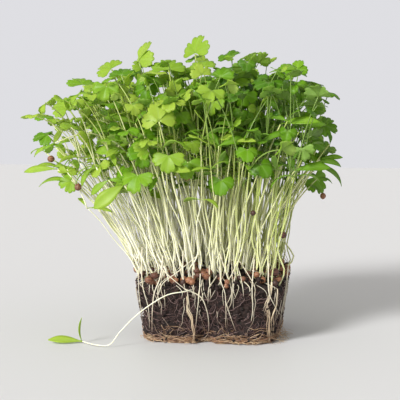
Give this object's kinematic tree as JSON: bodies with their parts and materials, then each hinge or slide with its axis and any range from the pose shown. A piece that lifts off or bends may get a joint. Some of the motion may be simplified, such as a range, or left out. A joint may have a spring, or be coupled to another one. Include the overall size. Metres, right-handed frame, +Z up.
{
  "type": "microgreens plug",
  "caption": "Square plug of soil and roots with a fanning stand of thin-stemmed coriander seedlings; stands on its flat root mat, without a tray.",
  "frame": {"origin": "on the surface the plug stands on, under the middle of its root mat", "axes": "+Z up along the stems, -Y towards the front of the plug, where one seedling trails out onto the surface, +X to the right"},
  "size_m": [0.1801, 0.1304, 0.1784],
  "materials": {
    "soil": null,
    "root_felt": null,
    "root": null,
    "husk": null,
    "stem": null,
    "leaf": null
  },
  "bodies": {
    "root": {"soil_block": "soil", "root_mat": "root_felt", "root_1": "root", "root_2": "root", "root_3": "root", "root_4": "root", "root_5": "root", "root_6": "root", "husk_1": "husk", "husk_2": "husk", "husk_3": "husk", "husk_4": "husk", "husk_5": "husk", "trailing_stem": "stem", "trailing_leaf_flat": "leaf", "trailing_leaf_raised": "leaf", "stem_01": "stem", "stem_02": "stem", "stem_03": "stem", "stem_04": "stem", "stem_05": "stem", "stem_06": "stem", "stem_07": "stem", "stem_08": "stem", "stem_09": "stem", "stem_10": "stem", "stem_11": "stem", "stem_12": "stem", "stem_13": "stem", "stem_14": "stem", "stem_15": "stem", "stem_16": "stem", "stem_17": "stem", "stem_18": "stem", "stem_19": "stem", "stem_20": "stem", "stem_21": "stem", "stem_22": "stem", "leaf_01": "leaf", "leaf_02": "leaf", "leaf_03": "leaf", "leaf_04": "leaf", "leaf_05": "leaf", "leaf_06": "leaf", "leaf_07": "leaf", "leaf_08": "leaf", "leaf_09": "leaf", "leaf_10": "leaf", "leaf_11": "leaf", "leaf_12": "leaf", "leaf_13": "leaf", "leaf_14": "leaf", "leaf_15": "leaf", "leaf_16": "leaf", "leaf_17": "leaf", "leaf_18": "leaf", "leaf_19": "leaf", "leaf_20": "leaf", "leaf_21": "leaf", "leaf_22": "leaf"}
  },
  "joints": []
}
